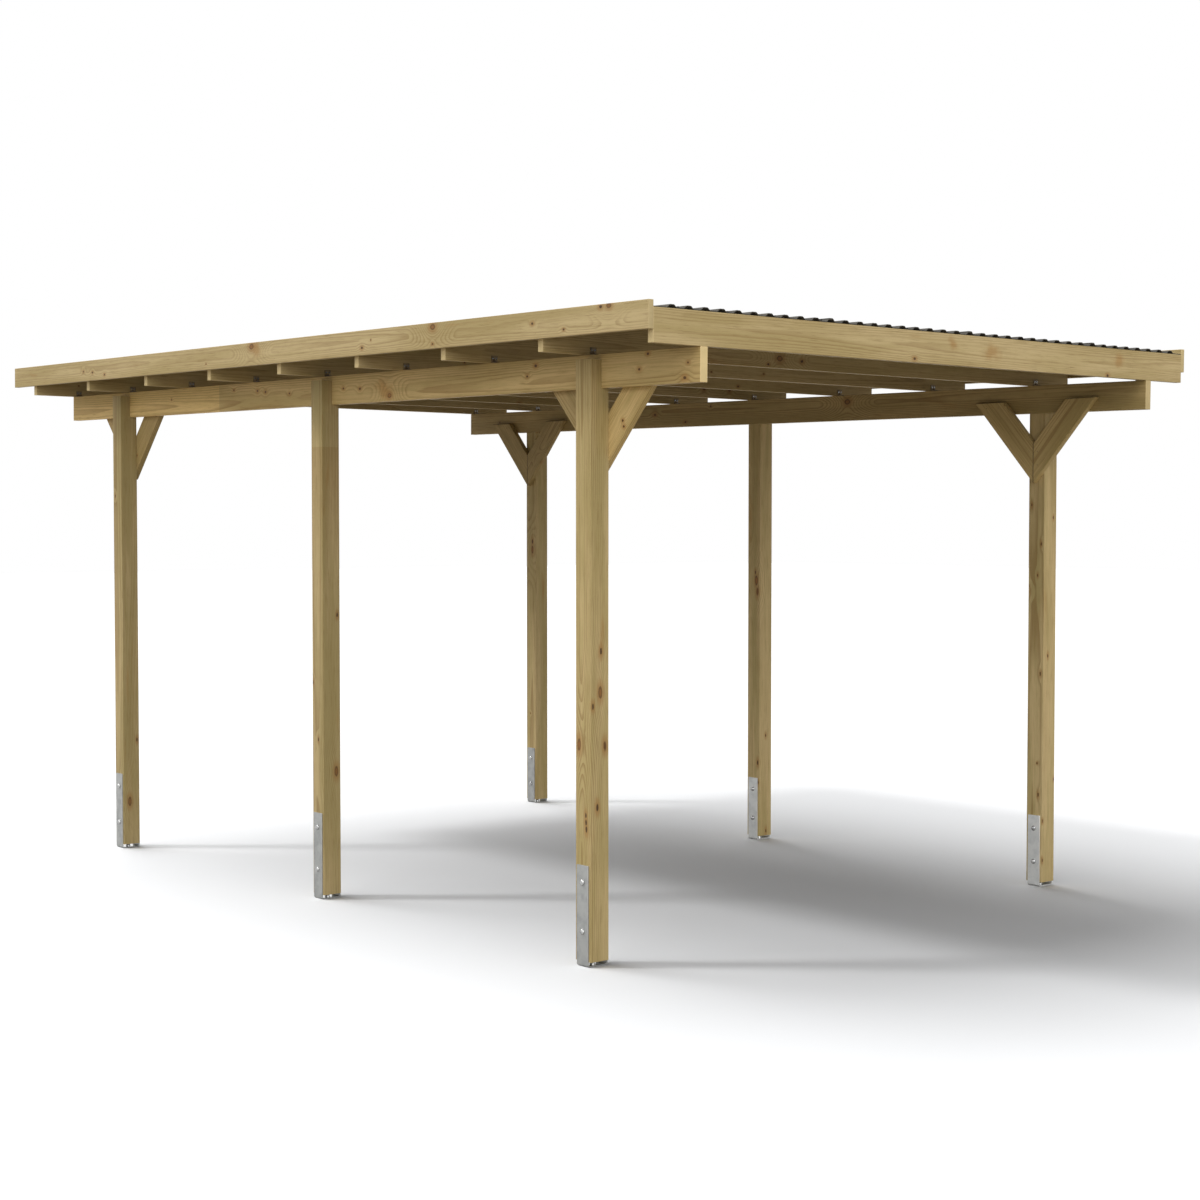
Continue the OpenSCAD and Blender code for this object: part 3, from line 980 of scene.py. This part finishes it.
def placeFasteners(name, shape, spots, material, spin=0.0, seed=1, replaced=()):
    # spots: place, facing and upright direction of each fastener
    base = bpy.data.meshes.new(name + "Spots")
    base.from_pydata([tuple(s[0]) for s in spots], [], [])
    for label, index in (("facing", 1), ("upright", 2)):
        setAttribute(base, label, "FLOAT_VECTOR", "POINT", [tuple(s[index]) for s in spots])
    source = bpy.data.objects.new(name + "Shape", shape)
    scene.collection.objects.link(source)
    values = {"Shape": source, "Spin": spin, "Seed": seed, "Material": material}
    mesh = growMesh(name, fastenerTree, values, base)
    bpy.data.objects.remove(source)
    addPiece(name, mesh, replaced)


def turnedShape(name, outline, sides, smooth=True):
    # a shape of revolution about Z from (radius, height) points, open below
    bm = bmesh.new()
    rings = []
    for radius, height in outline:
        if radius == 0:
            rings.append([bm.verts.new((0, 0, height))])
            continue
        angles = [2 * math.pi * i / sides for i in range(sides)]
        rings.append([bm.verts.new((radius * math.cos(a), radius * math.sin(a), height)) for a in angles])
    for low, high in zip(rings, rings[1:]):
        for i in range(sides):
            j = (i + 1) % sides
            corners = [low[i], low[j % len(low)], high[j % len(high)], high[i % len(high)]]
            bm.faces.new(list(dict.fromkeys(corners)))
    bm.normal_update()
    mesh = keepMesh(bm, name)
    for face in mesh.polygons:
        face.use_smooth = smooth
    return mesh


def joinShapes(name, *meshes):
    bm = bmesh.new()
    for mesh in meshes:
        bm.from_mesh(mesh)
    return keepMesh(bm, name)


def screwShape(name, radius, height):
    # low round head with a six-sided socket
    outline = [(radius, 0), (radius, 0.35 * height), (0.82 * radius, height), (0.46 * radius, height),
               (0.42 * radius, 0.2 * height), (0, 0.2 * height)]
    return turnedShape(name, outline, 12, False)


anchors = {
    "ease": 0.8 * mm,
    "easeSegments": 2,
    "smoothBelow": 0.0015,  # square metres
    "plate": 5 * mm,
    "pale": ("anchor_front_right", "anchor_middle_right"),  # makes up for the shade of the roof
    "outerBolts": (136 * mm, 328 * mm),  # heights above the ground
    "innerBolts": (116 * mm, 274 * mm),
    "domeRadius": 12 * mm,
    "domeHeight": 9 * mm,
    "domeWall": 0.2,  # share of the height that is upright
    "domeArc": (0, 15, 30, 45, 60, 75),  # degrees
    # radius and height, from the plate up
    "washer": [(12 * mm, 0), (12 * mm, 2 * mm), (7 * mm, 2 * mm), (0, 2 * mm)],
    "hexHead": [(10.4 * mm, 2 * mm), (10.4 * mm, 8 * mm), (9 * mm, 9 * mm), (0, 9 * mm)],
}


def domeOutline(setup):
    radius, tall, wall = setup["domeRadius"], setup["domeHeight"], setup["domeWall"]
    outline = [(radius, 0)]
    for a in map(math.radians, setup["domeArc"]):
        outline.append((radius * math.cos(a), tall * (wall + (1 - wall) * math.sin(a))))
    return outline + [(0, tall)]


def makeAnchors(setup):
    bolts, footBolts = [], []
    for node in nodesOf("anchor"):
        bm = mergedCopy(node)
        easeEdges(bm, setup["ease"], setup["easeSegments"])
        mesh = keepMesh(bm, node)
        shadeByArea(mesh, setup["smoothBelow"])
        mesh.materials.append(metal["newZinc" if node in setup["pale"] else "galvanised"])
        # the plate's top under the post gets a paler, mirror-smooth zinc: partly painted light, brightening
        # it in the post's shade
        mesh.materials.append(metal["smoothZinc"])
        for face in mesh.polygons:
            if face.normal.z > 0.9 and face.center.z < 2 * setup["plate"]:
                face.material_index = 1
        addPiece(node + "_strap", mesh, [node])
        low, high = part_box(node)
        mid = (low + high) / 2
        outward = -1 if mid.x < 0 else 1
        outer, inner = (low.x, high.x) if outward < 0 else (high.x, low.x)
        for height in setup["outerBolts"]:
            bolts.append((Vector((outer, mid.y, height)), Vector((outward, 0, 0)), up))
        for height in setup["innerBolts"]:
            bolts.append((Vector((inner, mid.y, height)), Vector((-outward, 0, 0)), up))
        footBolts.append((Vector((mid.x, mid.y, setup["plate"])), up, Vector((0, 1, 0))))
    dome = turnedShape("domeHead", domeOutline(setup), 20)
    placeFasteners("anchor_bolts", dome, bolts, metal["brightZinc"])
    washer = turnedShape("washer", setup["washer"], 20, False)
    head = turnedShape("hexHead", setup["hexHead"], 6, False)
    placeFasteners("ground_bolts", joinShapes("footBolt", washer, head), footBolts, metal["brightZinc"],
                   spin=1.0, seed=3)


makeAnchors(anchors)
print("anchors and bolts set")

brackets = {
    "width": 32 * mm,
    "leg": 30 * mm,
    "thickness": 2.5 * mm,
    "bend": 3 * mm,
    "ribWidth": 7 * mm,
    "ribDepth": 11 * mm,
    "screwSpread": 8 * mm,  # screws either side of the middle
    "screwReach": 19 * mm,  # from the corner
    "screwRadius": 4.2 * mm,
    "screwHeight": 2.2 * mm,
}


def bracketShape(setup):
    leg, t, r = setup["leg"], setup["thickness"], setup["bend"]
    arc = [math.radians(a) for a in (270, 240, 210, 180)]
    inner = [(t + r + r * math.cos(a), t + r + r * math.sin(a)) for a in arc]
    outer = [((r + t) * (1 + math.cos(a)), (r + t) * (1 + math.sin(a))) for a in reversed(arc)]
    outline = [(leg, 0), (leg, t)] + inner + [(t, leg), (0, leg)] + outer
    bm = bmesh.new()
    half = setup["width"] / 2
    ends = [[bm.verts.new((x, y, z)) for y, z in outline] for x in (-half, half)]
    bm.faces.new(ends[0])
    bm.faces.new(list(reversed(ends[1])))
    for i in range(len(outline)):
        j = (i + 1) % len(outline)
        bm.faces.new([ends[0][i], ends[1][i], ends[1][j], ends[0][j]])
    # pressed rib across the bend
    rib, depth = setup["ribWidth"] / 2, setup["ribDepth"]
    profile = ((t, t), (depth, t), (t, depth))
    ribVerts = [[bm.verts.new((x, y, z)) for y, z in profile] for x in (-rib, rib)]
    bm.faces.new([ribVerts[0][1], ribVerts[1][1], ribVerts[1][2], ribVerts[0][2]])
    bm.faces.new(ribVerts[0])
    bm.faces.new(list(reversed(ribVerts[1])))
    bmesh.ops.recalc_face_normals(bm, faces=bm.faces)
    return keepMesh(bm, "angleBracket")


def makeBrackets(setup):
    shape = bracketShape(setup)
    screw = screwShape("bracketScrew", setup["screwRadius"], setup["screwHeight"])
    for side in ("left", "right"):
        low, high = roofBox(f"beam_{side}")
        mid = (low.x + high.x) / 2
        spots, screws = [], []
        for number, (rafterLow, rafterHigh) in enumerate(rafterBoxes):
            # behind the first rafter, in front of the others
            forward = 1 if number == 0 else -1
            face = rafterHigh.y if number == 0 else rafterLow.y
            corner = Vector((mid, face, high.z))
            spots.append((fromRoof @ corner, roofUp, roofAlong * forward))
            for across in (-1, 1):
                dx = across * setup["screwSpread"]
                flat = corner + Vector((dx, forward * setup["screwReach"], setup["thickness"]))
                wall = corner + Vector((dx, forward * setup["thickness"], setup["screwReach"]))
                screws.append((fromRoof @ flat, roofUp, roofAlong))
                screws.append((fromRoof @ wall, roofAlong * forward, roofUp))
        placeFasteners(f"rafter_brackets_{side}", shape, spots, metal["agedZinc"],
                       replaced=[f"brackets_{side}"])
        placeFasteners(f"bracket_screws_{side}", screw, screws, metal["brightZinc"],
                       spin=1.0, seed=5)


makeBrackets(brackets)
print("brackets screwed on")

braceScrews = {
    "headRadius": 3.2 * mm,
    "headHeight": 0.6 * mm,
    # shares of the brace's reach and height: two into the post, two into the beam
    "places": ((0.07, 0.22), (0.07, 0.38), (0.60, 0.93), (0.80, 0.93)),
}


def makeBraceScrews(setup):
    spots = []
    for node in nodesOf("brace"):
        low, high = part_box(node)
        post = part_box(node.replace("brace", "post").rsplit("_", 1)[0])
        postMid = (post[0].y + post[1].y) / 2
        inward = 1 if low.x < 0 else -1
        face = high.x if inward > 0 else low.x
        lean = 1 if (low.y + high.y) / 2 > postMid else -1
        reach, tall = high.y - low.y, high.z - low.z
        for y, z in setup["places"]:
            place = Vector((face, postMid + lean * y * reach, low.z + z * tall))
            spots.append((place, Vector((inward, 0, 0)), up))
    shape = screwShape("boardScrew", setup["headRadius"], setup["headHeight"])
    placeFasteners("brace_screws", shape, spots, metal["brownZinc"], spin=1.0, seed=11)


fasciaNails = {
    "radius": 1.8 * mm,
    "height": 0.6 * mm,
    "rimHeight": 0.4 * mm,
    "heights": (0.28, 0.66),  # shares of the way to the rafter's top
}


def makeFasciaNails(setup):
    spots = []
    for side, outward in (("left", -1), ("right", 1)):
        low, high = roofBox(f"fascia_{side}")
        face = low.x if outward < 0 else high.x
        for rafterLow, rafterHigh in rafterBoxes:
            middle = (rafterLow.y + rafterHigh.y) / 2
            for share in setup["heights"]:
                place = Vector((face, middle, low.z + share * (rafterHigh.z - low.z)))
                spots.append((fromRoof @ place, Vector((outward, 0, 0)), up))
    r, tall = setup["radius"], setup["height"]
    outline = [(r, 0), (0.9 * r, setup["rimHeight"]), (0.5 * r, tall), (0, tall)]
    placeFasteners("fascia_nails", turnedShape("nailHead", outline, 10), spots, metal["brownZinc"])


roofScrews = {
    "headRadius": 5 * mm,
    "washerRadius": 8 * mm,
    "everyCrest": 3,
    # heights above the sheet
    "washerRim": 1.2 * mm,
    "washerTop": 2 * mm,
    "headRim": 6 * mm,
    "headTop": 6.8 * mm,
}


def makeRoofScrews(setup, waves):
    # in the troughs, over each rafter
    spots = []
    base = roofBox("roof_sheet_1")[0].z + waves["thickness"]
    for low, high in rafterBoxes:
        for crest in range(1, waves["lastCrest"], setup["everyCrest"]):
            x = (crest - 0.5 - waves["lastCrest"] / 2) * waves["pitch"]
            spots.append((fromRoof @ Vector((x, (low.y + high.y) / 2, base)), roofUp, roofAlong))
    r, w, seat, top = setup["headRadius"], setup["washerRadius"], setup["washerTop"], setup["headTop"]
    washer = turnedShape("roofWasher", [(w, 0), (w, setup["washerRim"]), (0.8 * w, seat), (0, seat)], 14)
    head = turnedShape("roofHead", [(r, seat), (r, setup["headRim"]), (0.8 * r, top), (0, top)], 6, False)
    placeFasteners("roof_screws", joinShapes("roofScrew", washer, head), spots, metal["darkCoat"],
                   spin=1.0, seed=17)


makeBraceScrews(braceScrews)
makeFasciaNails(fasciaNails)
makeRoofScrews(roofScrews, sheets)
print("screws and nails in")
